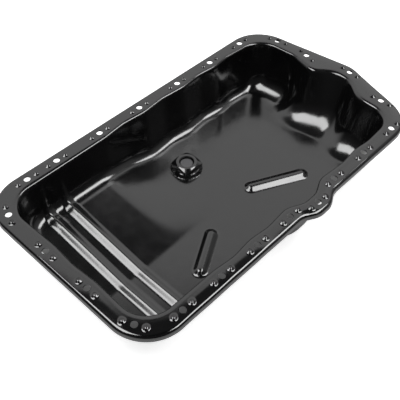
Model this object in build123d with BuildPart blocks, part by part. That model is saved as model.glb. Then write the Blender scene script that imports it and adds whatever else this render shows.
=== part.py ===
"""Pressed-steel engine oil pan with a welded drain nut, a drain plug and its sealing washer.

The bolting flange is on top and the sump floor at the bottom. Lengths are in millimetres.
X runs along the pan, Z points up, and the origin is under the middle of the part's box.
"""
import math
import os

from build123d import *

# Sheet and overall sizes
sheet = 1.8
depth = 80.0
half_length = 284.0
half_width = 157.8
bump_reach = 11.5

# Flange: its rounded corners, the shallow nose of its right end and the bump of its near side
left_corner_r = 57.0
far_corner_inset = 25.0
near_corner_inset = 41.0
right_corner_r = 58.0
nose_share = -0.14
nose_r = 50.0
bump_x = 22.0
bump_half_base = 32.0
bump_half_top = 12.0
bump_r = 30.0
lip_height = 8.0
lip_r = 4.0

# Bolt holes: shares of the half length along the rows, and inset from the end with share of the half width
hole_d = 9.0
row_inset = 13.1
far_shares = [-0.7535, -0.581, -0.3134, -0.0458, 0.2289, 0.4824, 0.7289]
near_shares = [-0.7535, -0.5246, -0.2993, -0.0775, 0.2489, 0.4884, 0.7289]
bump_hole_inset = 14.0
left_bolts = [(16.8, 0.7079), (13.7, 0.2066), (13.8, -0.2807), (18.9, -0.756)]
right_bolts = [(28.4, 0.6641), (26.3, 0.2997), (13.2, -0.1711), (36.4, -0.6337)]

# Pips beside each bolt hole, and the direction in which they lie at the two ends
left_turns = [70.0, 90.0, 90.0, 116.0]
right_turns = [103.0, 75.0, 84.0, 92.0]
pip_step = 14.5
pip_d = 8.6
pip_top_d = 3.4
pip_height = 1.6

# Walls: the flange's width inside its edge, the bows between bolts and how far the base leans in
left_flange = 25.0
side_flange = 26.8
wall_lean = 6.0
wall_corner_r = 38.0
bow = 3.5
bow_r_share = 0.28
last_bow_share = 0.35
left_dent = 2.5
wall_bump_gain = 0.5
wall_bump_lean = 3.0
wall_bump_spread = 4.0
rim_r = 5.0
floor_r = 17.0
floor_steps = 4
end_steps = 3
rim_steps = 2
side_use = 0.8

# Right end wall, as shares of the half length: x of each rim corner, its share of the half width, the lean
# of its base, the radius of its large rounding into the floor and the radius of the corner itself
end_wall = [
    (0.8398, 0.985, 0.035, 0.113, 0.134),
    (0.8574, 0.458, 0.042, 0.116, 0.211),
    (0.8187, 0.168, 0.049, 0.137, 0.141),
    (0.9014, -0.076, 0.056, 0.158, 0.127),
    (0.8979, -0.29, 0.049, 0.158, 0.127),
    (0.8099, -0.534, 0.039, 0.116, 0.211),
    (0.7993, -1.0, 0.028, 0.095, 0.127),
]

# Ramp at the far left of the floor
ramp_crease_share = -0.165
ramp_rise_share = 0.225
ramp_flat_end = 179.0
ramp_fade_end = 234.0
ramp_fade = 0.02

# Cross beads and oblong ribs of the floor
bead_insets = [78.0, 109.0]
bead_width = 20.0
bead_top = 3.6
bead_height = 4.5
bead_root = 9.0
bead_climb_share = 0.82
bead_bury = 3.6
bead_bend_r = 60.0
rib_shares = [((-0.4225, -0.5196), (-0.2324, -0.3232)), ((0.1408, -0.2028), (0.3944, -0.4309))]
rib_width = 23.0
rib_top = 6.0
rib_height = 4.5

# Drain seat, nut, plug and washer
drain_x = 2.0
drain_share = 0.4
seat_d = 41.0
seat_flare = 3.0
seat_height = 6.0
nut_side = 35.0
nut_height = 8.5
nut_corner_r = 3.0
nut_face_d = 31.0
nut_slope = 1.73
nut_bore_chamfer = 1.2
thread_d = 22.0
thread_depth = 0.8
thread_clearance = 0.2
plug_below_nut = 3.0
plug_end_chamfer = 1.0
plug_head_d = 30.0
plug_head_height = 4.0
plug_head_r = 0.8
plug_drive = 10.0
plug_drive_depth = 9.0
washer_d = 29.0
washer_thickness = 1.2

# Heights and places worked out from the sizes above
floor_z = sheet
rim_z = sheet + depth
middle_y = bump_reach / 2
wall_x = half_length - left_flange
wall_y = half_width - side_flange
row_y = half_width - row_inset
bow_r = bow_r_share * half_length
nose_y = nose_share * half_width
ramp_crease_y = ramp_crease_share * half_width
ramp_rise = ramp_rise_share * depth
drain_y = drain_share * half_width
far_row = [share * half_length for share in far_shares]
near_row = [share * half_length for share in near_shares]
left_holes = [(inset - half_length, share * half_width) for inset, share in left_bolts]
right_holes = [(half_length - inset, share * half_width) for inset, share in right_bolts]
nut_z = floor_z + seat_height
washer_z = nut_z - sheet - washer_thickness
head_z = washer_z - plug_head_height


def level(z):
    """Level sketch plane at height z, centred on the middle line of the flange."""
    return Plane((0, middle_y, z))


def drain_level(z):
    """Level sketch plane at height z, centred on the drain."""
    return Plane((drain_x, drain_y + middle_y, z))


def outline(corners):
    """Edges of a closed outline with one rounding for each corner: x, y, radius.

    Where two roundings need more of the side between them than it has, both shrink in proportion.
    """
    points = [Vector(x, y) for x, y, r in corners]
    before = [point - points[place - 1] for place, point in enumerate(points)]
    after = before[1:] + before[:1]
    turns = [math.radians(first.get_angle(second)) for first, second in zip(before, after)]
    reach = [r * math.tan(turn / 2) for (x, y, r), turn in zip(corners, turns)]
    used = [(reach[place - 1] + reach[place]) / side.length for place, side in enumerate(before)]
    radii = []
    for place, (x, y, r) in enumerate(corners):
        tightest = max(used[place], used[(place + 1) % len(used)])
        radii.append(r * min(side_use / tightest, 1))
    with BuildLine() as line:
        FilletPolyline(points, radius=radii, close=True)
    return line.edges()


def flange_corners():
    """Corners of the flange's outer edge, clockwise from the far left."""
    far_run = math.atan2(far_corner_inset, half_width - nose_y)
    near_run = math.atan2(near_corner_inset, half_width + nose_y)
    nose_trim = nose_r * (1 / math.cos((far_run + near_run) / 2) - 1)
    bump_y = -half_width - bump_reach
    return [
        (-half_length, half_width, left_corner_r),
        (half_length - far_corner_inset, half_width, right_corner_r),
        (half_length + nose_trim, nose_y, nose_r),
        (half_length - near_corner_inset, -half_width, right_corner_r),
        (bump_x + bump_half_base, -half_width, bump_r),
        (bump_x + bump_half_top, bump_y, bump_r),
        (bump_x - bump_half_top, bump_y, bump_r),
        (bump_x - bump_half_base, -half_width, bump_r),
        (-half_length, -half_width, left_corner_r),
    ]


def waves(bolts, side):
    """Wall corners along a bolt row: in at every bolt and bowed out half way to the next one."""
    corners = []
    for here, following in zip(bolts, bolts[1:]):
        corners.append((here, side * wall_y, bow_r))
        corners.append(((here + following) / 2, side * (wall_y + bow), bow_r))
    corners.append((bolts[-1], side * wall_y, bow_r))
    return corners


def set_back(radius, height, grow):
    """How far a floor rounding stands in from the wall at a height above the floor, on the face grown by grow."""
    below = max(radius - height, 0)
    return radius - math.sqrt(max((radius + grow) ** 2 - below**2, 0))


def wall_corners(height, grow):
    """Corners of the wall at a height above the floor, leaning in from the rim to the floor.

    The right end also curls in by what its large roundings have more than the floor's own.
    """
    share = min((depth - height) / depth, 1)
    lean = wall_lean * share
    left = -wall_x + lean
    bump_y = -wall_y - bump_reach - wall_bump_gain + wall_bump_lean * share
    bump_foot = bump_half_base + wall_bump_spread
    far_bow_x = far_row[5] + last_bow_share * (far_row[6] - far_row[5])
    near_bow_x = near_row[5] + last_bow_share * (near_row[6] - near_row[5])
    far = waves(far_row[2:6], 1) + [(far_bow_x, wall_y + bow, bow_r)]
    near_right = [(near_bow_x, -wall_y - bow, bow_r)]
    near_right += [(near_row[5], -wall_y, bow_r)]
    near_right += [((near_row[4] + near_row[5]) / 2, -wall_y - bow, bow_r)]
    near_left = waves(near_row[1:4], -1)[::-1][1:]
    bump = [
        (bump_x + bump_foot, -wall_y + lean, bump_r),
        (bump_x + bump_half_top, bump_y + lean, bump_r),
        (bump_x - bump_half_top, bump_y + lean, bump_r),
        (bump_x - bump_foot, -wall_y + lean, bump_r),
    ]
    left_dents = [left_holes[1][1], left_holes[2][1]]
    corners = [(left, wall_y - lean, wall_corner_r)]
    corners += [(x, y - lean, r) for x, y, r in far]
    for rim, side, inward, curl, corner in end_wall:
        curled = set_back(curl * half_length, height, grow) - set_back(floor_r, height, grow)
        x = half_length * (rim - inward * share) - curled
        corners.append((x, side * (wall_y - lean), corner * half_length))
    corners += [(x, y + lean, r) for x, y, r in near_right]
    corners += bump
    corners += [(x, y + lean, r) for x, y, r in near_left]
    corners += [(left, -wall_y + lean, wall_corner_r)]
    corners += [(left + left_dent, left_dents[1], bow_r)]
    corners += [(left, sum(left_dents) / 2, bow_r)]
    corners += [(left + left_dent, left_dents[0], bow_r)]
    return corners


def tub_levels(grow):
    """Height above the floor and outline offset of each level of the tub, from the floor up to the rim.

    The floor's rounding and the rim's share their centres on both faces of the sheet.
    """
    levels = []
    for step in range(floor_steps + 1):
        turn = math.radians(90 * step / floor_steps)
        height = floor_r - (floor_r + grow) * math.cos(turn)
        levels.append((height, (floor_r + grow) * math.sin(turn) - floor_r))
    tallest = half_length * max(curl for rim, side, inward, curl, corner in end_wall)
    for step in range(1, end_steps + 1):
        levels.append((floor_r + (tallest - floor_r) * step / end_steps, grow))
    for step in range(rim_steps + 1):
        turn = math.radians(90 * step / rim_steps)
        height = depth - rim_r + (rim_r - grow) * math.sin(turn)
        levels.append((height, rim_r - (rim_r - grow) * math.cos(turn)))
    return levels


def tub(grow):
    """Solid inside the walls: the hollow where grow is 0, the outer form where it is the sheet."""
    with BuildPart() as body:
        for height, out in tub_levels(grow):
            with BuildSketch(level(floor_z + height)):
                make_face(outline(wall_corners(height, grow)))
                if out:
                    offset(amount=out)
        loft(ruled=True)
    return body.part


def ramp(drop):
    """Wedge under the raised far left of the floor, lowered by drop, with a soft right end."""
    rise_y = wall_y + bow
    with BuildPart() as body:
        for inset, share in [(0, 1), (ramp_flat_end, 1), (ramp_fade_end, ramp_fade)]:
            foot = (inset - half_length, middle_y, floor_z - drop)
            with BuildSketch(Plane(foot, x_dir=(0, 1, 0), z_dir=(1, 0, 0))):
                Polygon(
                    (ramp_crease_y, 0),
                    (rise_y, ramp_rise * share),
                    (rise_y, -ramp_rise),
                    (ramp_crease_y, -ramp_rise),
                    align=None,
                )
        loft(ruled=True)
    return body.part


def bead(inset, shrink):
    """Raised bead across the floor, climbing both walls until it fades into them."""
    top = wall_y + bead_bury
    climb = bead_climb_share * depth
    points = [
        (top, climb),
        (wall_y - wall_lean, ramp_rise),
        (ramp_crease_y, 0),
        (-wall_y + wall_lean, 0),
        (-top, climb),
    ]
    flank = (bead_width - bead_top) / 2
    root_half = bead_width / 2 + flank * bead_root / bead_height
    with BuildPart() as body:
        with BuildLine(Plane((inset - half_length, middle_y, floor_z), x_dir=(0, 1, 0), z_dir=(1, 0, 0))):
            spine = FilletPolyline(points, radius=[floor_r, bead_bend_r, floor_r])
        with BuildSketch(Plane(spine @ 0, x_dir=(1, 0, 0), z_dir=spine % 0)):
            Polygon(
                (-root_half, -bead_root),
                (root_half, -bead_root),
                (bead_top / 2, bead_height),
                (-bead_top / 2, bead_height),
                align=None,
            )
            if shrink:
                offset(amount=-shrink)
        sweep(path=spine)
    return body.part


def rib(start, end, shrink):
    """Oblong floor rib between two end centres given as shares, with sloping sides."""
    first = Vector(start[0] * half_length, start[1] * half_width)
    last = Vector(end[0] * half_length, end[1] * half_width)
    run = last - first
    middle = (first + last) / 2
    plane = Plane((middle.X, middle.Y + middle_y, floor_z - rib_height), x_dir=(run.X, run.Y, 0))
    with BuildPart() as body:
        with BuildSketch(plane):
            SlotCenterToCenter(run.length, 2 * rib_width - rib_top - 2 * shrink)
        with BuildSketch(plane.offset(2 * rib_height - shrink)):
            SlotCenterToCenter(run.length, rib_top - 2 * shrink)
        loft(ruled=True)
    return body.part


def seat(shrink):
    """Round raised seat of the drain, smaller by shrink on the outside."""
    with BuildPart() as body:
        with Locations((drain_x, drain_y + middle_y, floor_z - shrink)):
            Cone(
                seat_d / 2 + seat_flare - shrink,
                seat_d / 2 - shrink,
                seat_height,
                align=(Align.CENTER, Align.CENTER, Align.MIN),
            )
            Cylinder(seat_d / 2 + seat_flare - shrink, sheet, align=(Align.CENTER, Align.CENTER, Align.MAX))
    return body.part


def floor_forms(drop):
    """Everything pressed up from the floor, smaller and lower by drop on the outside."""
    forms = [ramp(drop), seat(drop)]
    forms += [bead(inset, drop) for inset in bead_insets]
    forms += [rib(start, end, drop) for start, end in rib_shares]
    return forms


def bolt_places():
    """Centre of each bolt hole, with the direction in which its two pips lie."""
    places = [(x, row_y, 0) for x in far_row] + [(x, -row_y, 0) for x in near_row]
    places += [(bump_x, bump_hole_inset - half_width - bump_reach, 0)]
    for holes, side in [(left_holes, left_turns), (right_holes, right_turns)]:
        places += [(x, y, turn) for (x, y), turn in zip(holes, side)]
    return places


def pip_places():
    """Centre of each pip, one step to either side of its bolt hole."""
    places = []
    for x, y, turn in bolt_places():
        step_x = pip_step * math.cos(math.radians(turn))
        step_y = pip_step * math.sin(math.radians(turn))
        places += [(x + step_x, y + step_y), (x - step_x, y - step_y)]
    return places


def flange(inset):
    """Flange block with its rounded outer edge: the outside, or what lies inside its sheet by inset."""
    with BuildPart() as body:
        with BuildSketch(level(rim_z - lip_height)):
            make_face(outline(flange_corners()))
            if inset:
                offset(amount=-inset)
        extrude(amount=lip_height - inset)
        fillet(body.faces().sort_by(Axis.Z)[-1].edges(), radius=lip_r - inset)
    return body.part


def pips(drop):
    """Small raised cones beside the bolt holes, or the dents under them when lowered by drop."""
    with BuildPart() as body:
        with Locations([(x, y + middle_y, rim_z - drop) for x, y in pip_places()]):
            Cone(pip_d / 2, pip_top_d / 2, pip_height, align=(Align.CENTER, Align.CENTER, Align.MIN))
    return body.part


with BuildPart() as hollow:
    add(tub(0))
    add(floor_forms(0), mode=Mode.SUBTRACT)

with BuildPart() as pan_shell:
    add(flange(0))
    add(flange(sheet), mode=Mode.SUBTRACT)
    add(tub(sheet))
    add(floor_forms(sheet), mode=Mode.SUBTRACT)
    add(hollow.part, mode=Mode.SUBTRACT)
    add(pips(0))
    add(pips(sheet), mode=Mode.SUBTRACT)
    with BuildSketch(level(rim_z - lip_height)):
        with Locations([(x, y) for x, y, turn in bolt_places()]):
            Circle(hole_d / 2)
    extrude(amount=2 * lip_height, mode=Mode.SUBTRACT)
    with BuildSketch(level(0)):
        with Locations((drain_x, drain_y)):
            Circle(thread_d / 2 + thread_clearance)
    extrude(amount=depth, mode=Mode.SUBTRACT)
pan_shell.part.label = "pan_shell"

with BuildPart() as drain_nut:
    with BuildSketch(drain_level(nut_z)):
        RectangleRounded(nut_side, nut_side, nut_corner_r)
        Circle(thread_d / 2 - thread_depth, mode=Mode.SUBTRACT)
    extrude(amount=nut_height)
    with Locations(drain_level(nut_z)):
        Cone(
            nut_face_d / 2 + nut_height * nut_slope,
            nut_face_d / 2,
            nut_height,
            align=(Align.CENTER, Align.CENTER, Align.MIN),
            mode=Mode.INTERSECT,
        )
    bore_rim = drain_nut.faces().sort_by(Axis.Z)[-1].edges().sort_by(SortBy.LENGTH)[0]
    chamfer(bore_rim, length=nut_bore_chamfer)
drain_nut.part.label = "drain_nut"

with BuildPart() as plug_washer:
    with BuildSketch(drain_level(washer_z)):
        Circle(washer_d / 2)
        Circle(thread_d / 2 + thread_clearance, mode=Mode.SUBTRACT)
    extrude(amount=washer_thickness)
plug_washer.part.label = "plug_washer"

with BuildPart() as drain_plug:
    with BuildSketch(drain_level(head_z)):
        Circle(plug_head_d / 2)
    extrude(amount=plug_head_height)
    fillet(drain_plug.faces().sort_by(Axis.Z)[0].edges(), radius=plug_head_r)
    with BuildSketch(drain_level(head_z + plug_head_height)):
        Circle(thread_d / 2 - thread_depth - thread_clearance)
    extrude(amount=nut_z + nut_height - plug_below_nut - head_z - plug_head_height)
    chamfer(drain_plug.faces().sort_by(Axis.Z)[-1].edges(), length=plug_end_chamfer)
    with BuildSketch(drain_level(head_z)):
        Rectangle(plug_drive, plug_drive)
    extrude(amount=plug_drive_depth, mode=Mode.SUBTRACT)
drain_plug.part.label = "drain_plug"

os.makedirs("parts", exist_ok=True)
for piece in (pan_shell, drain_nut, plug_washer, drain_plug):
    export_step(piece.part, "parts/" + piece.part.label + ".step")
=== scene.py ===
"""Black painted engine oil pan on a white studio floor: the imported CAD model, dressed.

The pan's sizes are in millimetres, in the frame of its flange, whose middle line is y = 0.
They turn into metres in the row frame when a mesh is made.
"""

import math

import bpy
import numpy as np
from mathutils import Matrix


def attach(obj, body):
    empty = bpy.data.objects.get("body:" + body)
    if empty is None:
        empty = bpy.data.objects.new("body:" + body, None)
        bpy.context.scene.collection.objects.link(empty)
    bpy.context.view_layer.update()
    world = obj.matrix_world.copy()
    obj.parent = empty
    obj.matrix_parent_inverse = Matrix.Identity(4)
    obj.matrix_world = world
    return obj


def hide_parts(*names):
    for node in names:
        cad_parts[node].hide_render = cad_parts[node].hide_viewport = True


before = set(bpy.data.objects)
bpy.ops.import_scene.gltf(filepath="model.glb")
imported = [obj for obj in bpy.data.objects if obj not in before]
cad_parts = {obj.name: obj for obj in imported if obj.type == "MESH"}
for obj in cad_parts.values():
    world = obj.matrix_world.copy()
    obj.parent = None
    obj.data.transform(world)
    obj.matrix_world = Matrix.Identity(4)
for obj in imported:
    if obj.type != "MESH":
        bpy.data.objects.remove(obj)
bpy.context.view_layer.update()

# Sheet and overall sizes, with a metre in their unit
metre = 1000
sheet = 1.8
depth = 80.0
half_length = 284.0
half_width = 157.8
bump_reach = 11.5
floor_z = sheet
rim_z = sheet + depth
middle_y = bump_reach / 2

# Flange edge: corners x, y, rounding, clockwise from the far left
bump_x = 22.0
bump_half_top = 12.0
bump_half_base = 32.0
bump_r = 30.0
flange_edge = np.array([
    (-half_length, half_width, 57.0),
    (259.0, half_width, 58.0),
    (half_length + 1.2, -22.1, 50.0),
    (243.0, -half_width, 58.0),
    (bump_x + bump_half_base, -half_width, bump_r),
    (bump_x + bump_half_top, -half_width - bump_reach, bump_r),
    (bump_x - bump_half_top, -half_width - bump_reach, bump_r),
    (bump_x - bump_half_base, -half_width, bump_r),
    (-half_length, -half_width, 57.0),
])
lip_height = 8.0
lip_r = 4.0

# Crown: the flange's drop towards its edge, less at the ends and round the bolts, none on the far side
crown_wide = 19.0
crown_r = 95.0
crown_flat_r = 16.0
crown_flat_share = 0.5
crown_ends = 0.6
crown_sides = 0.7

# Bolt holes: x, y and the direction in which their two pips lie
hole_r = 4.5
bolt_row_y = 144.7
bump_bolt_y = -155.3
far_bolts = (-214.0, -165.0, -89.0, -13.0, 65.0, 137.0, 207.0)
near_bolts = (-214.0, -149.0, -85.0, -22.0, 70.7, 138.7, 207.0)
bolts = np.array(
    [(x, bolt_row_y, 0.0) for x in far_bolts]
    + [(x, -bolt_row_y, 0.0) for x in near_bolts]
    + [(bump_x, bump_bolt_y, 0.0)]
    + [(-267.2, 111.7, 70.0), (-270.3, 32.6, 90.0), (-270.2, -44.3, 90.0), (-265.1, -119.3, 116.0)]
    + [(255.6, 104.8, 103.0), (257.7, 47.3, 75.0), (270.8, -27.0, 84.0), (247.6, -100.0, 92.0)]
)
pip_step = 14.5
pip_top_r = 1.3
pip_base_r = 4.7
pip_height = 2.1
pip_soft = 0.35

# Walls: the inner face at the rim, clockwise from the far left, how far its base leans in, and the share
# of a side that its roundings may use.
# A wave lists places along its side and how far the wall stands out there, or in on the left side.
# The wall's bump lists x from its middle, how far it stands out and how much more its base leans in.
wall_x = 259.0
wall_y = 131.0
lean = 6.0
bow = 3.5
bow_r = 79.5
corner_r = 38.0
side_use = 0.8
floor_r = 17.0
rim_gentle_r = 12.0
rim_gentle_turn = math.radians(18.0)
rim_tight_r = 3.5
seam_out = 0.8
far_wave = [
    (-89.0, 0), (-51.0, bow), (-13.0, 0), (26.0, bow), (65.0, 0), (101.0, bow), (137.0, 0), (161.5, bow),
]
near_wave_right = [(162.6, bow), (138.7, 0), (104.7, bow)]
near_wave_left = [(-53.5, bow), (-85.0, 0), (-117.0, bow), (-149.0, 0)]
left_bow = 2.5
left_wave = [(-44.3, left_bow), (-5.85, 0), (32.6, left_bow)]
wall_bump = [(36.0, 0, 0), (12.0, 12.0, 3.0), (-12.0, 12.0, 3.0), (-36.0, 0, 0)]

# Right end wall: x and y of each rim corner, how far its base leans in and to the near side,
# its rounding into the floor and its own rounding
end_wall = [
    (238.5, 129.0, 10.0, 0.0, 30.0, 38.0),
    (243.5, 60.0, 8.0, 8.0, 30.0, 60.0),
    (235.5, 27.0, 26.0, -16.0, 30.0, 30.0),
    (235.5, 16.0, 29.0, 2.0, 30.0, 30.0),
    (256.0, -10.0, 41.0, 14.0, 32.0, 36.0),
    (255.0, -38.0, 33.0, 6.0, 32.0, 36.0),
    (230.0, -70.0, 32.0, 6.0, 32.0, 60.0),
    (227.0, -131.0, 20.0, 0.0, 28.0, 36.0),
]
end_smooth = 8.0
end_smooth_top = 60.0

# Places along the right end, in stations u from the middle of a corner: where its shape has died out
# on the sides, where it is full, and which part of the wall faces the flange's blunt point
end_gone = 2.5
end_full = 0.5
end_point = 9.0

# Rounded oblong in the floor's middle, where the rows from the walls end: corners x, y, rounding
floor_oblong = np.array([
    (-222.0, 95.0, 25.0),
    (140.0, 95.0, 25.0),
    (140.0, -95.0, 25.0),
    (-222.0, -95.0, 25.0),
])

# Forms pressed into the floor: half widths of their tops and bases, heights and roundings
ramp_crease_y = -26.0
ramp_crease_soft = 4.0
ramp_rise = 20.0
ramp_slope = ramp_rise / (wall_y + bow - ramp_crease_y)
ramp_flat_end_x = -104.0
ramp_fade_end_x = -24.0
ramp_fade_soft = 0.12
ramp_tail_soft = 0.36
bead_x = (-206.0, -175.0)
bead_top = 0.8
bead_base = 9.3
bead_height = 3.95
bead_soft = 1.0
bead_fade = 64.0
rib_ends = [((-120.0, -82.0), (-66.0, -51.0)), ((40.0, -32.0), (112.0, -68.0))]
rib_top = 3.0
rib_base = 10.4
rib_height = 5.0
rib_soft = 1.3
drain = np.array((2.0, 63.0))
drain_r = 11.2
seat_top = 20.5
seat_base = 23.5
seat_height = 6.0
seat_soft = 0.8

# Welded nut, with the slope of its turned face as its drop
nut_half = 17.5
nut_height = 8.5
nut_corner_r = 3.0
nut_face_r = 15.5
nut_drop = 0.578
nut_bore_r = 10.2
nut_chamfer = 1.2
nut_edge = 0.6

# Mesh fineness: stations along the long and short sides, rows across each form, and cells cut for holes
long_side = 300
short_side = 150
rim_rows = 4
wall_rows = 5
curl_rows = 5
base_rows = 8
lip_rows = 4
flat_rows = 16
toe_rows = 7
ring_rows = 3
drain_cells = 8
hole_cells_wide = 3
hole_cells_deep = 2
hole_block = 6.6
nut_corner_stations = 8
nut_side_stations = 24
nut_face_rows = 6

# Smallest turn between faces that shows as a sharp edge
sharp_turn = math.radians(40.0)
nut_sharp_turn = math.radians(25.0)

# Finishes: colours, the two roughnesses between which a finish wanders, and noise scales per metre
paint_colour = (0.003, 0.003, 0.0032)
paint_ior = 1.8
paint_patches = 60.0
paint_ripples = 260.0
paint_ripple_height = 0.000012
tub_gloss = (0.13, 0.18)
rim_gloss = (0.07, 0.11)
steel_colour = (0.16, 0.16, 0.165)
steel_gloss = (0.3, 0.45)
copper_colour = (0.72, 0.42, 0.28)
copper_gloss = (0.25, 0.4)
metal_patches = 300.0
patch_detail = 3.0
patch_range = (0.3, 0.7)
ripple_detail = 1.0

# Studio floor, with its half size in metres
stage_half = 4.0
stage_colour = (0.8, 0.8, 0.8)
stage_roughness = 0.9
stage_glow = 0.75

# Studio light: heights and turns in degrees, brightness against white.
# A screen has its turn from the view, half width, soft edge and brightness.
# A softbox has its turn, height, distance, width and height in metres, and brightness.
screen_top = 57.0
screen_top_soft = 1.0
screen_full = 30.0
screen_foot = 0.45
screens = [(-18.0, 58.0, 18.0, 0.85), (62.0, 30.0, 15.0, 0.25)]
room_light = 0.05
ceiling_share = 0.05
left_softbox = (-104.0, 64.5, 2.0, 1.2, 0.85, 7.0)
right_softbox = (92.0, 60.0, 2.0, 1.6, 0.6, 8.0)

# Camera, from the photograph's view: place in metres, lens and sensor in millimetres
camera_place = (-0.50292, -0.43632, 0.73502)
camera_turn = math.radians(-46.637)
camera_tilt = math.radians(48.432)
camera_roll = math.radians(0.620)
camera_lens = 61.17
camera_sensor = 36.0


def headings(angle):
    """Unit vectors along each angle, and to the left of it."""
    along = np.stack([np.cos(angle), np.sin(angle)], axis=-1)
    left = np.stack([-np.sin(angle), np.cos(angle)], axis=-1)
    return along, left


def rounded(corners):
    """Arcs and lines of a closed outline with rounded corners, as arrays with one entry per corner.

    Where two roundings need more than a set share of the side between them, both shrink in proportion.
    """
    points = corners[:, :2]
    run = np.roll(points, -1, axis=0) - points
    leaving = np.arctan2(run[:, 1], run[:, 0])
    coming = np.roll(leaving, 1)
    turn = (leaving - coming + math.pi) % (2 * math.pi) - math.pi
    trim = corners[:, 2] * np.abs(np.tan(turn / 2))
    used = (trim + np.roll(trim, -1)) / np.linalg.norm(run, axis=1)
    shrink = np.minimum(side_use / np.maximum(used, np.roll(used, 1)), 1)
    trim = trim * shrink
    start = points - trim[:, None] * headings(coming)[0]
    end = points + trim[:, None] * headings(leaving)[0]
    bend = np.sign(turn) * corners[:, 2] * shrink
    centre = start + bend[:, None] * headings(coming)[1]
    return {"start": start, "end": end, "coming": coming, "turn": turn, "bend": bend, "centre": centre}


def trace(corners, u):
    """Points of a rounded outline and their outward normals.

    The whole part of u counts arcs and lines in turn, and the rest is the share along that one.
    """
    part = rounded(corners)
    count = len(corners)
    step = np.floor(u).astype(int)
    share = (u - step)[:, None]
    corner = (step // 2) % count
    arc = (step % 2 == 0)[:, None]
    angle = part["coming"][corner] + np.where(arc[:, 0], share[:, 0], 1.0) * part["turn"][corner]
    left = headings(angle)[1]
    on_arc = part["centre"][corner] - part["bend"][corner][:, None] * left
    on_line = part["end"][corner] * (1 - share) + part["start"][(corner + 1) % count] * share
    return np.where(arc, on_arc, on_line), left


def run_of(corners):
    """Length along a rounded outline at each whole u, twice round."""
    part = rounded(corners)
    arcs = np.abs(part["turn"] * part["bend"])
    lines = np.linalg.norm(np.roll(part["start"], -1, axis=0) - part["end"], axis=1)
    once = np.stack([arcs, lines], axis=1).ravel()
    return np.concatenate([[0.0], np.cumsum(np.tile(once, 2))])


def middle_of(corner):
    """u at the middle of a corner's arc."""
    return 2 * corner + 0.5


def wall_outline(share):
    """Corners of the wall's inner face from the rim (share 0) to the base (share 1)."""
    inward = lean * share
    left = -wall_x + inward
    corners = [(left, wall_y - inward, corner_r)]
    corners += [(x, wall_y + out - inward, bow_r) for x, out in far_wave]
    for x, y, leaning, aside, curl, r in end_wall:
        corners.append((x - leaning * share, y * (1 - inward / wall_y) - aside * share, r))
    corners += [(x, -wall_y - out + inward, bow_r) for x, out in near_wave_right]
    for x, out, more in wall_bump:
        corners.append((bump_x + x, -wall_y - out + inward + more * share, bump_r))
    corners += [(x, -wall_y - out + inward, bow_r) for x, out in near_wave_left]
    corners += [(left, -wall_y + inward, corner_r)]
    corners += [(left + into, y, bow_r) for y, into in left_wave]
    return np.array(corners)


def soft_ramp(t, soft):
    """0 below zero and t above it, rounded over soft to either side of zero."""
    blend = np.clip((t + soft) / (2 * soft), 0, 1)
    return soft * blend**2 + np.maximum(t - soft, 0)


def pressed(distance, top, base, height, soft, sink=0.0):
    """Height of a pressed form with a flat top, a straight slope and rounded edges, sunk by sink."""
    slope = height + (top - distance) * height / (base - top)
    return soft_ramp(height - soft_ramp(height - slope, soft) - sink, soft)


def ramp_height(x, y):
    """Rise of the floor at its far left: a slope from the crease to the far wall that fades to the right."""
    fade = (x - ramp_flat_end_x) / (ramp_fade_end_x - ramp_flat_end_x)
    share = 1 - soft_ramp(fade, ramp_fade_soft) + soft_ramp(fade - 1, ramp_tail_soft)
    return ramp_slope * soft_ramp(y - ramp_crease_y, ramp_crease_soft) * share


def floor_forms(x, y, sink):
    """Height of the beads, ribs and drain seat above the floor or wall at x, y.

    Each is a pressed form of the distance from its line, its middle line or its centre.
    """
    rise = np.zeros_like(x)
    for at in bead_x:
        rise += pressed(np.abs(x - at), bead_top, bead_base, bead_height, bead_soft, sink)
    for start, end in rib_ends:
        axis = np.subtract(end, start)
        along = ((x - start[0]) * axis[0] + (y - start[1]) * axis[1]) / np.dot(axis, axis)
        along = np.clip(along, 0, 1)
        off = np.hypot(x - start[0] - along * axis[0], y - start[1] - along * axis[1])
        rise += pressed(off, rib_top, rib_base, rib_height, rib_soft, sink)
    off = np.hypot(x - drain[0], y - drain[1])
    return rise + pressed(off, seat_top, seat_base, seat_height, seat_soft, sink)


def pip_forms(x, y):
    """Height of the domed pips above the flange at x, y.

    Each is a pressed form of the distance from its centre, one to either side of a bolt hole.
    """
    away = pip_step * headings(np.radians(bolts[:, 2]))[0]
    centres = np.concatenate([bolts[:, :2] + away, bolts[:, :2] - away])
    rise = np.zeros_like(x)
    for at in centres:
        off = np.hypot(x - at[0], y - at[1])
        rise += pressed(off, pip_top_r, pip_base_r, pip_height, pip_soft)
    return rise


def quads(index):
    """Faces of a grid of vertex numbers, seen from the side where its two directions turn left."""
    ring = [index[:-1, :-1], index[1:, :-1], index[1:, 1:], index[:-1, 1:]]
    return np.stack(ring, axis=-1).reshape(-1, 4)


def closed(index):
    """A grid of vertex numbers with its first row repeated at the end."""
    return np.concatenate([index, index[:1]])


def normals_of(points, faces):
    """Unit normal of each vertex, from the faces around it."""
    across = points[faces[:, 2]] - points[faces[:, 0]]
    other = points[faces[:, 3]] - points[faces[:, 1]]
    each = np.repeat(np.cross(across, other), 4, axis=0)
    total = np.zeros_like(points)
    np.add.at(total, faces.ravel(), each)
    return total / np.maximum(np.linalg.norm(total, axis=1), 1e-12)[:, None]


def edge_band(top, bottom):
    """Faces between the edges of the sheet's two sides; the lower one has as many points or half as many."""
    step = len(top) // len(bottom)
    columns = [np.roll(top, -k)[::step] for k in range(step + 1)]
    columns += [np.roll(bottom, -1), bottom]
    return np.stack(columns, axis=-1)


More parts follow.
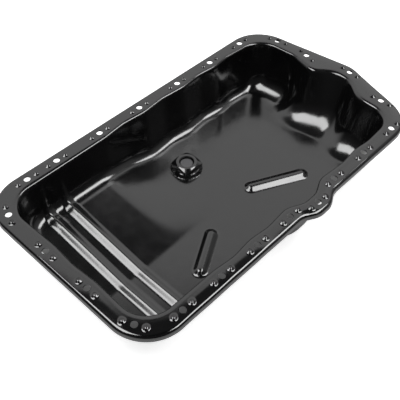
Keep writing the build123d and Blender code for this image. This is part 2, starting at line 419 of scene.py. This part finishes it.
def punch(points, index, keep, block, centre, radius, layers):
    """Cuts a round hole in a block of a grid and fills the block with rings from square to round."""
    a0, a1, b0, b1 = block
    loop = np.concatenate([
        index[a0:a1, b0], index[a1, b0:b1], index[a1:a0:-1, b1], index[a0, b1:b0:-1],
    ])
    keep[a0:a1, b0:b1] = False
    edge = points[loop]
    ray = edge[:, :2] - centre
    ray /= np.linalg.norm(ray, axis=1)[:, None]
    round_edge = np.column_stack([centre + radius * ray, edge[:, 2]])
    shares = np.linspace(0, 1, layers + 1)[1:]
    rings = edge + shares[:, None, None] * (round_edge - edge)
    numbers = len(points) + np.arange(layers * len(loop)).reshape(layers, -1)
    numbers = np.concatenate([loop[None], numbers])
    numbers = np.concatenate([numbers, numbers[:, :1]], axis=1)
    points = np.concatenate([points, rings.reshape(-1, 3)])
    return points, quads(numbers.T), numbers[-1, :-1]


def new_object(name, data):
    """Object with that data, linked to the scene."""
    made = bpy.data.objects.new(name, data)
    bpy.context.scene.collection.objects.link(made)
    return made


def make_piece(name, points, faces, finish, sharp):
    """Mesh object in the row frame from points in the flange frame and groups of faces."""
    mesh = bpy.data.meshes.new(name)
    placed = (points + (0, middle_y, 0)) / metre
    mesh.from_pydata(placed.tolist(), [], [f for group in faces for f in group.tolist()])
    mesh.update()
    mesh.shade_smooth()
    mesh.set_sharp_from_angle(angle=sharp)
    mesh.materials.append(finish)
    return new_object(name, mesh)


def station_marks():
    """u of the wall's four corners, from the far left round to it again."""
    far_right = 1 + len(far_wave)
    near_right = far_right + len(end_wall) - 1
    near_left = near_right + len(near_wave_right) + len(wall_bump) + len(near_wave_left) + 1
    count = near_left + 1 + len(left_wave)
    return [middle_of(k) for k in (0, far_right, near_right, near_left, count)]


def end_curl(u):
    """Radius of the rounding into the floor at stations u: larger along the right end."""
    far_right, near_right = station_marks()[1:3]
    at = [far_right - end_gone, far_right + end_full]
    at += [far_right + 2 * k for k in range(1, len(end_wall) - 1)]
    at += [near_right - end_full, near_right + end_gone]
    radii = [curl for x, y, leaning, aside, curl, r in end_wall]
    return np.interp(u, at, [floor_r] + radii + [floor_r])


def set_back(radius, height):
    """How far a rounding into the floor stands in from the wall at a height above the floor."""
    return radius - np.sqrt(np.maximum(radius**2 - np.maximum(radius - height, 0) ** 2, 0))


def spaced(outline, corners, fineness):
    """u of evenly spaced stations along the four sides of an outline between the middles of its corners."""
    run = run_of(outline)
    marks = np.interp(corners, np.arange(len(run)), run)
    sides = []
    for start, end, count in zip(marks, marks[1:], (long_side, short_side) * 2):
        sides.append(np.linspace(start, end, count * fineness, endpoint=False))
    return np.interp(np.concatenate(sides), run, np.arange(len(run)))


def stations(fineness):
    """u of evenly spaced stations along each of the wall's four sides, at half its height."""
    return spaced(wall_outline(0.5), station_marks(), fineness)


def flange_stations(u):
    """u on the flange's edge that faces each wall station u."""
    far_left, far_right, near_right, near_left, back = station_marks()
    first_bump = near_right + 2 * (len(near_wave_right) + 1)
    on_wall = [far_left, far_right, far_right + end_point, near_right]
    on_wall += [first_bump + 2 * k for k in range(len(wall_bump))] + [near_left, back]
    on_edge = [middle_of(k) for k in range(len(flange_edge) + 1)]
    wall_run = run_of(wall_outline(0))
    edge_run = run_of(flange_edge)
    wall_at = np.interp(on_wall, np.arange(len(wall_run)), wall_run)
    edge_at = np.interp(on_edge, np.arange(len(edge_run)), edge_run)
    at = np.interp(np.interp(u, np.arange(len(wall_run)), wall_run), wall_at, edge_at)
    return np.interp(at, edge_run, np.arange(len(edge_run)))


def outward(points):
    """Outward unit normals of a closed clockwise line of flat points."""
    run = np.roll(points, -1, axis=0) - np.roll(points, 1, axis=0)
    left = np.column_stack([-run[:, 1], run[:, 0]])
    return left / np.linalg.norm(left, axis=1)[:, None]


def rim_profile():
    """Depth below the flange and way out from the wall along the rim: a tight rounding, then a gentle one."""
    tight = np.linspace(math.pi / 2, rim_gentle_turn, rim_rows + 1)
    gentle = np.linspace(rim_gentle_turn, 0, rim_rows + 1)[1:]
    dip = rim_gentle_r * (1 - math.cos(rim_gentle_turn))
    reach = rim_tight_r * (1 - math.sin(rim_gentle_turn))
    down = np.concatenate([
        dip + rim_tight_r * (math.cos(rim_gentle_turn) - np.cos(tight)),
        rim_gentle_r * (1 - np.cos(gentle)),
    ])
    out = np.concatenate([
        rim_tight_r * (1 - np.sin(tight)),
        reach + rim_gentle_r * (math.sin(rim_gentle_turn) - np.sin(gentle)),
    ])
    return down, out


def smoothed(points, reach):
    """A closed line of points averaged along itself with a bell weight of that reach."""
    spacing = np.mean(np.linalg.norm(np.roll(points, -1, axis=0) - points, axis=1))
    wide = math.ceil(3 * reach / spacing)
    weight = np.exp(-((np.arange(-wide, wide + 1) * spacing / reach) ** 2) / 2)
    weight /= weight.sum()
    around = np.concatenate([points[-wide:], points, points[:wide]])
    return np.column_stack([np.convolve(around[:, k], weight, "valid") for k in range(2)])


def end_share(u):
    """1 along the right end at stations u, fading to 0 past its two corners."""
    far_right, near_right = station_marks()[1:3]
    far = [far_right - end_gone, far_right - end_full]
    near = [near_right + end_full, near_right + end_gone]
    return np.interp(u, far + near, [0, 1, 1, 0])


def flat_edge(u):
    """Line in the flat flange just outside the rim's rounding, where the pan's two meshes meet."""
    rim, normal = trace(wall_outline(0), u)
    return rim + (rim_profile()[1][-1] + seam_out) * normal


def wall_grid(u):
    """Rows of points at stations u, from the flat flange down the wall and on to the oblong in the floor.

    Each row is the leaning wall at one height, moved out by the rim's roundings or in by the floor's
    quarter circle; the right end is also set back by its larger rounding and smoothed along itself.
    From the toe of the roundings straight lines run in along the floor, which the ramp raises.
    """
    rim, normal = trace(wall_outline(0), u)
    base = trace(wall_outline(1), u)[0]
    curl = end_curl(u)

    def at_height(height):
        return base + (height / depth)[:, None] * (rim - base)

    def row(flat, height):
        return np.column_stack([flat, floor_z + height])

    top = np.full(len(u), depth)
    rows = [row(flat_edge(u), top)]
    down, out = rim_profile()
    for drop, way in zip(down[::-1], out[::-1]):
        rows.append(row(at_height(top - drop) + way * normal, top - drop))
    wall_top = depth - down[0]
    tallest = max(curl)
    heights = np.concatenate([
        np.linspace(wall_top, tallest, wall_rows + 1)[1:],
        np.linspace(tallest, floor_r, curl_rows + 1)[1:],
        floor_r * (1 - np.cos(np.linspace(math.pi / 2, 0, base_rows + 1)[1:])),
    ])
    toe = at_height(np.zeros(len(u)))
    toe = toe - floor_r * outward(toe)
    rise = ramp_height(toe[:, 0], toe[:, 1])
    for above in heights:
        height = above + rise * np.clip((wall_top - above) / (wall_top - floor_r), 0, 1)
        flat = at_height(height)
        flat[:, 0] -= set_back(curl, above) - set_back(floor_r, above)
        blend = end_share(u) * max(1 - above / end_smooth_top, 0)
        flat += blend[:, None] * (smoothed(flat, end_smooth) - flat)
        flat = flat - set_back(floor_r, above) * outward(flat)
        rows.append(row(flat, height))
    marks = [middle_of(k) for k in range(len(floor_oblong) + 1)]
    inner = trace(floor_oblong, spaced(floor_oblong, marks, 1))[0]
    for share in np.linspace(0, 1, toe_rows + 1)[1:]:
        between = flat * (1 - share) + inner * share
        rows.append(row(between, ramp_height(between[:, 0], between[:, 1])))
    return np.stack(rows, axis=1), floor_z + rise


def floor_grid(edge):
    """Floor points inside a closed line: the patch that blends its four sides."""
    far = edge[: long_side + 1]
    right = edge[long_side : long_side + short_side + 1][::-1]
    near = edge[long_side + short_side : 2 * long_side + short_side + 1][::-1]
    left = np.concatenate([edge[2 * long_side + short_side :], edge[:1]])
    u = np.linspace(0, 1, long_side + 1)[:, None, None]
    v = np.linspace(0, 1, short_side + 1)[None, :, None]
    across = (1 - v) * near[:, None] + v * far[:, None]
    along = (1 - u) * left[None] + u * right[None]
    near_ends = (1 - u) * (1 - v) * near[0] + u * (1 - v) * near[-1]
    far_ends = (1 - u) * v * far[0] + u * v * far[-1]
    return across + along - near_ends - far_ends


def tub_inside():
    """Points of the pan's inside, their normals and the vertex numbers of its floor and wall grids.

    Rows of circles and lines run down each wall station to a blended floor patch. Beads, ribs and seat
    raise them along their normals, and die out up the walls.
    """
    wall, toe_z = wall_grid(stations(1))
    count, rows = wall.shape[:2]
    floor = floor_grid(wall[:, -1, :2])
    rise = ramp_height(floor[..., 0], floor[..., 1])
    floor_index = np.arange(rise.size).reshape(rise.shape)
    oblong_index = np.concatenate([
        floor_index[:-1, -1], floor_index[-1, :0:-1], floor_index[:0:-1, 0], floor_index[0, :-1],
    ])
    wall_index = rise.size + np.arange(count * (rows - 1)).reshape(count, rows - 1)
    wall_index = np.column_stack([wall_index, oblong_index])
    floor = np.dstack([floor, floor_z + rise])
    points = np.concatenate([floor.reshape(-1, 3), wall[:, :-1].reshape(-1, 3)])
    faces = np.concatenate([quads(floor_index), quads(closed(wall_index))[:, ::-1]])
    above = np.maximum(points[wall_index, 2] - toe_z[:, None], 0)
    sink = np.zeros(len(points))
    sink[wall_index] = bead_height * above / (floor_z + bead_fade - toe_z)[:, None]
    sink[oblong_index] = 0
    forms = floor_forms(points[:, 0], points[:, 1], sink)
    points = points + forms[:, None] * normals_of(points, faces)
    return points, normals_of(points, faces), floor_index, wall_index


def drained(points, floor_index, wall_index, block):
    """One side of the sheet with the drain's hole cut in a block of its floor: points, faces, hole's edge."""
    keep = np.ones(np.subtract(floor_index.shape, 1), bool)
    points, ring_faces, ring = punch(points, floor_index, keep, block, drain, drain_r, ring_rows)
    faces = [quads(floor_index)[keep.ravel()], ring_faces, quads(closed(wall_index))[:, ::-1]]
    return points, faces, ring


def tub_piece(finish):
    """Inside and underside of the pan from the rim's rounding to the floor, as one pressed sheet.

    The underside is every second point of the inside, moved back along its normal by the sheet.
    """
    points, normals, floor_index, wall_index = tub_inside()
    off = np.hypot(points[floor_index, 0] - drain[0], points[floor_index, 1] - drain[1])
    a, b = (2 * (k // 2) for k in np.unravel_index(np.argmin(off), off.shape))
    block = (a - drain_cells, a + drain_cells, b - drain_cells, b + drain_cells)
    half_block = tuple(k // 2 for k in block)
    half_floor = floor_index[::2, ::2]
    half_wall = wall_index[::2, ::2]
    used = np.unique(np.concatenate([half_floor.ravel(), half_wall.ravel()]))
    half_floor = np.searchsorted(used, half_floor)
    half_wall = np.searchsorted(used, half_wall)
    under = (points - sheet * normals)[used]
    points, top, ring = drained(points, floor_index, wall_index, block)
    under, below, under_ring = drained(under, half_floor, half_wall, half_block)
    first = len(points)
    bottom = [group[:, ::-1] + first for group in below]
    bands = [
        edge_band(wall_index[:, 0], half_wall[:, 0] + first),
        edge_band(ring, under_ring + first),
    ]
    return make_piece("pan_tub", np.concatenate([points, under]), top + bottom + bands, finish, sharp_turn)


def crown(x, y, inset, facing):
    """Drop of the flange towards its edge: the square of the way past its start over twice its radius.

    A bell round each bolt lessens it, and so does the way that the edge faces.
    """
    near = np.min(np.hypot(x[:, None] - bolts[:, 0], y[:, None] - bolts[:, 1]), axis=1)
    ease = 1 - crown_flat_share * np.exp(-((near / crown_flat_r) ** 2))
    side = np.clip(crown_ends - crown_sides * facing, 0, 1)
    return side * ease * np.maximum(crown_wide - inset, 0) ** 2 / (2 * crown_r)


def flange_grid(u):
    """Rows of points at stations u up the lip's side, round its quarter circle and straight in to the rim.

    Also gives the flange's edge and its outward normals.
    """
    inner = flat_edge(u)
    edge, normal = trace(flange_edge, flange_stations(u))

    def row(flat, z):
        return np.column_stack([flat, np.full(len(u), z)])

    rows = [row(edge, rim_z - lip_height)]
    for share in np.linspace(0, 1, lip_rows + 1):
        angle = share * math.pi / 2
        flat = edge - lip_r * (1 - math.cos(angle)) * normal
        rows.append(row(flat, rim_z - lip_r + lip_r * math.sin(angle)))
    flat = edge - lip_r * normal
    for share in np.linspace(0, 1, flat_rows + 1)[1:]:
        rows.append(row(flat * (1 - share) + inner * share, rim_z))
    return np.stack(rows, axis=1), edge, normal


def hole_cells(grid, x, y):
    """Block of grid cells round a bolt hole, between the lip's rounding and the rim."""
    count, across = grid.shape[:2]
    off = np.hypot(grid[..., 0] - x, grid[..., 1] - y)
    off[:, : lip_rows + 2] = np.inf
    a, b = np.unravel_index(np.argmin(off), off.shape)
    along = np.linalg.norm(grid[(a + 1) % count, b] - grid[a, b])
    inward = np.linalg.norm(grid[a, b] - grid[a, b - 1])
    wide = max(hole_cells_wide, math.ceil(hole_block / along))
    deep = max(hole_cells_deep, math.ceil(hole_block / inward))
    return a - wide, a + wide, max(b - deep, lip_rows + 1), min(b + deep, across - 2)


def flange_piece(finish):
    """Flange with its turned-down lip, bolt holes and domed pips, as one pressed sheet.

    Its upper side is the grid of rows with a ring of faces round each hole, raised by the pips and
    lowered by the crown. Its underside is the upper side, moved back along its normals by the sheet.
    """
    grid, edge, normal = flange_grid(stations(2))
    count, across = grid.shape[:2]
    index = np.arange(count * across).reshape(count, across)
    wrapped = closed(index)
    points = grid.reshape(-1, 3)
    keep = np.ones((count, across - 1), bool)
    patches = []
    loops = []
    for x, y, turn in bolts:
        block = hole_cells(grid, x, y)
        points, ring_faces, ring = punch(points, wrapped, keep, block, np.array((x, y)), hole_r, ring_rows)
        patches.append(ring_faces[:, ::-1])
        loops.append(ring[::-1])
    rings = points[grid.size // 3 :]
    apart = np.hypot(rings[:, :1] - edge[:, 0], rings[:, 1:2] - edge[:, 1])
    grid_inset = np.linalg.norm(grid[..., :2] - edge[:, None], axis=2)
    inset = np.concatenate([grid_inset.ravel(), apart.min(axis=1)])
    facing = np.concatenate([np.repeat(normal[:, 1], across), normal[apart.argmin(axis=1), 1]])
    x, y = points[:, 0], points[:, 1]
    points[:, 2] += pip_forms(x, y) - crown(x, y, inset, facing)
    top = np.concatenate([quads(wrapped)[keep.ravel()][:, ::-1]] + patches)
    under = points - sheet * normals_of(points, top)
    first = len(points)
    loops += [index[:, 0], index[::-1, -1]]
    bands = [edge_band(loop, loop + first) for loop in loops]
    faces = [top, top[:, ::-1] + first] + bands
    return make_piece("pan_flange", np.concatenate([points, under]), faces, finish, sharp_turn)


def nut_piece(finish):
    """Square weld nut: a profile up the bore, over the turned face and down the side, round its outline.

    The turned face falls away from a flat ring in a straight cone, down to the square's eased edges.
    """
    square = nut_half * np.array([(-1, 1), (1, 1), (1, -1), (-1, -1)])
    corners = np.column_stack([square, np.full(4, nut_corner_r)])
    arc = np.linspace(0, 1, nut_corner_stations, endpoint=False)
    line = np.linspace(0, 1, nut_side_stations, endpoint=False)
    u = np.concatenate([np.concatenate([2 * k + arc, 2 * k + 1 + line]) for k in range(4)])
    side, normal = trace(corners, u)
    reach = np.linalg.norm(side, axis=1)
    toward = side / reach[:, None]
    foot = floor_z + seat_height
    top = foot + nut_height
    profile = [
        (toward * nut_bore_r, foot),
        (toward * nut_bore_r, top - nut_chamfer),
        (toward * (nut_bore_r + nut_chamfer), top),
        (toward * nut_face_r, top),
    ]
    eased = side - nut_edge * normal
    for share in np.linspace(0, 1, nut_face_rows + 1)[1:]:
        out = nut_face_r + share * (np.linalg.norm(eased, axis=1) - nut_face_r)
        profile.append((toward * out[:, None], top - nut_drop * (out - nut_face_r)))
    profile.append((side, top - nut_drop * (reach - nut_face_r) - nut_edge))
    profile.append((side, foot))
    rows = [np.column_stack([flat + drain, np.broadcast_to(z, len(u))]) for flat, z in profile]
    grid = np.stack(rows, axis=1)
    index = np.arange(grid.size // 3).reshape(grid.shape[:2])
    around = closed(index)
    faces = quads(np.column_stack([around, around[:, :1]]))
    return make_piece("weld_nut", grid.reshape(-1, 3), [faces], finish, nut_sharp_turn)


def new_material(name):
    """Material with a Principled shader, its node tree and that shader."""
    material = bpy.data.materials.new(name)
    material.use_nodes = True
    tree = material.node_tree
    return material, tree, tree.nodes["Principled BSDF"]


def noise_on(tree, scale, detail):
    """Soft noise of that scale on the piece's own coordinates."""
    place = tree.nodes.new("ShaderNodeTexCoord")
    noise = tree.nodes.new("ShaderNodeTexNoise")
    noise.inputs["Scale"].default_value = scale
    noise.inputs["Detail"].default_value = detail
    tree.links.new(place.outputs["Object"], noise.inputs["Vector"])
    return noise.outputs["Fac"]


def carried(tree, value, ends, results, way):
    """Carries a value from one range over to another, straight or with soft ends."""
    node = tree.nodes.new("ShaderNodeMapRange")
    node.interpolation_type = way
    for socket, number in zip(("From Min", "From Max", "To Min", "To Max"), (*ends, *results)):
        node.inputs[socket].default_value = number
    tree.links.new(value, node.inputs["Value"])
    return node.outputs["Result"]


def patchy(tree, shader, scale, gloss):
    """Lets the roughness wander between two values with a soft noise of that scale."""
    noise = noise_on(tree, scale, patch_detail)
    tree.links.new(carried(tree, noise, patch_range, gloss, "LINEAR"), shader.inputs["Roughness"])


def rippled(tree, shader, scale, height):
    """Very shallow ripple in the surface, as sprayed paint has."""
    bump = tree.nodes.new("ShaderNodeBump")
    bump.inputs["Strength"].default_value = 1.0
    bump.inputs["Distance"].default_value = height
    tree.links.new(noise_on(tree, scale, ripple_detail), bump.inputs["Height"])
    tree.links.new(bump.outputs["Normal"], shader.inputs["Normal"])


def black_paint(name, gloss):
    """Glossy black baked paint: patchy gloss between two roughnesses and a faint ripple."""
    material, tree, shader = new_material(name)
    shader.inputs["Base Color"].default_value = (*paint_colour, 1)
    shader.inputs["IOR"].default_value = paint_ior
    patchy(tree, shader, paint_patches, gloss)
    rippled(tree, shader, paint_ripples, paint_ripple_height)
    return material


def metal(name, colour, gloss):
    """Bare or plated metal with a patchy polish."""
    material, tree, shader = new_material(name)
    shader.inputs["Base Color"].default_value = (*colour, 1)
    shader.inputs["Metallic"].default_value = 1.0
    patchy(tree, shader, metal_patches, gloss)
    return material


def stage_finish():
    """White studio floor that looks white to the camera and keeps a faint shadow."""
    material, tree, shader = new_material("studio_floor")
    shader.inputs["Base Color"].default_value = (*stage_colour, 1)
    shader.inputs["Roughness"].default_value = stage_roughness
    shader.inputs["Specular IOR Level"].default_value = 0.0
    shader.inputs["Emission Color"].default_value = (1, 1, 1, 1)
    path = tree.nodes.new("ShaderNodeLightPath")
    glow = tree.nodes.new("ShaderNodeMath")
    glow.operation = "MULTIPLY"
    glow.inputs[1].default_value = stage_glow
    tree.links.new(path.outputs["Is Camera Ray"], glow.inputs[0])
    tree.links.new(glow.outputs["Value"], shader.inputs["Emission Strength"])
    return material


def add_floor():
    """Large level floor under the pan."""
    corners = [(x * stage_half, y * stage_half, 0) for x, y in ((-1, -1), (1, -1), (1, 1), (-1, 1))]
    mesh = bpy.data.meshes.new("studio_floor")
    mesh.from_pydata(corners, [], [(0, 1, 2, 3)])
    mesh.materials.append(stage_finish())
    floor = new_object("studio_floor", mesh)


def bearing_of(turn):
    """Level direction at a turn in degrees from the view, to the right of it."""
    heading = camera_turn - math.radians(turn)
    return np.array((-math.sin(heading), math.cos(heading), 0))


def combined(tree, operation, first, second):
    """Result of a sum or product of two values."""
    node = tree.nodes.new("ShaderNodeMath")
    node.operation = operation
    tree.links.new(first, node.inputs[0])
    tree.links.new(second, node.inputs[1])
    return node.outputs["Value"]


def vector_node(tree, operation, first, second):
    """Node that works on a linked vector and a set one."""
    node = tree.nodes.new("ShaderNodeVectorMath")
    node.operation = operation
    tree.links.new(first, node.inputs[0])
    node.inputs[1].default_value = second
    return node


def screen_light(tree):
    """Light of the room and its screens, by direction.

    The room's light and that of each screen, which fades at its two sides, are added up. The sum is
    less near the floor, and little is left of it above the screens.
    """
    place = tree.nodes.new("ShaderNodeTexCoord").outputs["Generated"]
    parts = tree.nodes.new("ShaderNodeSeparateXYZ")
    tree.links.new(place, parts.inputs["Vector"])
    level = vector_node(tree, "MULTIPLY", place, (1, 1, 0)).outputs["Vector"]
    bearing = vector_node(tree, "NORMALIZE", level, (0, 0, 0)).outputs["Vector"]
    total = tree.nodes.new("ShaderNodeValue").outputs["Value"]
    total.default_value = room_light
    for turn, half, soft, light in screens:
        facing = vector_node(tree, "DOT_PRODUCT", bearing, bearing_of(turn)).outputs["Value"]
        sides = [math.cos(math.radians(half + way)) for way in (soft, -soft)]
        screen = carried(tree, facing, sides, (0.0, light), "SMOOTHSTEP")
        total = combined(tree, "ADD", total, screen)
    top = [math.sin(math.radians(screen_top + way)) for way in (-screen_top_soft, screen_top_soft)]
    foot = [0.0, math.sin(math.radians(screen_full))]
    for ends, shares in ((top, (1.0, ceiling_share)), (foot, (screen_foot, 1.0))):
        share = carried(tree, parts.outputs["Z"], ends, shares, "SMOOTHSTEP")
        total = combined(tree, "MULTIPLY", total, share)
    return total


def add_world():
    """Pale screens round the pan up to a set height in a dim room, plain white to the camera."""
    world = bpy.data.worlds.new("studio")
    world.use_nodes = True
    bpy.context.scene.world = world
    tree = world.node_tree
    path = tree.nodes.new("ShaderNodeLightPath")
    choose = tree.nodes.new("ShaderNodeMix")
    choose.inputs["B"].default_value = 1.0
    tree.links.new(screen_light(tree), choose.inputs["A"])
    tree.links.new(path.outputs["Is Camera Ray"], choose.inputs["Factor"])
    tree.links.new(choose.outputs["Result"], tree.nodes["Background"].inputs["Strength"])
    tree.nodes["Background"].inputs["Color"].default_value = (1, 1, 1, 1)


def standing(right, up, back, place):
    """Matrix of an object at a place with its three axes along these directions."""
    return Matrix([[right[k], up[k], back[k], place[k]] for k in range(3)] + [[0, 0, 0, 1]])


def add_softbox(name, turn, height, distance, wide, tall, brightness):
    """Rectangular softbox that faces the pan from a turn to the right of the view and a height above it."""
    light = bpy.data.lights.new(name, "AREA")
    light.shape = "RECTANGLE"
    light.size = wide
    light.size_y = tall
    light.energy = math.pi * wide * tall * brightness
    lamp = new_object(name, light)
    up = math.radians(height)
    back = math.cos(up) * bearing_of(turn) + (0, 0, math.sin(up))
    right = np.cross((0, 0, 1), back)
    right /= np.linalg.norm(right)
    lamp.matrix_world = standing(right, np.cross(back, right), back, distance * back)


def add_camera():
    """Camera at the photograph's place."""
    data = bpy.data.cameras.new("photo_camera")
    data.lens = camera_lens
    data.sensor_width = camera_sensor
    camera = new_object("photo_camera", data)
    forward = np.array((
        -math.sin(camera_turn) * math.cos(camera_tilt),
        math.cos(camera_turn) * math.cos(camera_tilt),
        -math.sin(camera_tilt),
    ))
    right = np.array((math.cos(camera_turn), math.sin(camera_turn), 0))
    up = np.cross(right, forward)
    across = math.cos(camera_roll) * right + math.sin(camera_roll) * up
    above = math.cos(camera_roll) * up - math.sin(camera_roll) * right
    camera.matrix_world = standing(across, above, -forward, camera_place)
    bpy.context.scene.camera = camera


paint = black_paint("black_paint", tub_gloss)
rim_paint = black_paint("black_paint_rim", rim_gloss)
for piece, node in [
    (tub_piece(paint), "pan_shell"),
    (flange_piece(rim_paint), "pan_shell"),
    (nut_piece(paint), "drain_nut"),
]:
    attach(piece, "root")
    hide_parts(node)

for node, finish in [
    ("drain_plug", metal("dark_steel", steel_colour, steel_gloss)),
    ("plug_washer", metal("copper_ring", copper_colour, copper_gloss)),
]:
    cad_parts[node].data.materials.clear()
    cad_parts[node].data.materials.append(finish)

add_floor()
add_world()
add_softbox("left_softbox", *left_softbox)
add_softbox("right_softbox", *right_softbox)
add_camera()
bpy.context.scene.view_settings.view_transform = "Standard"
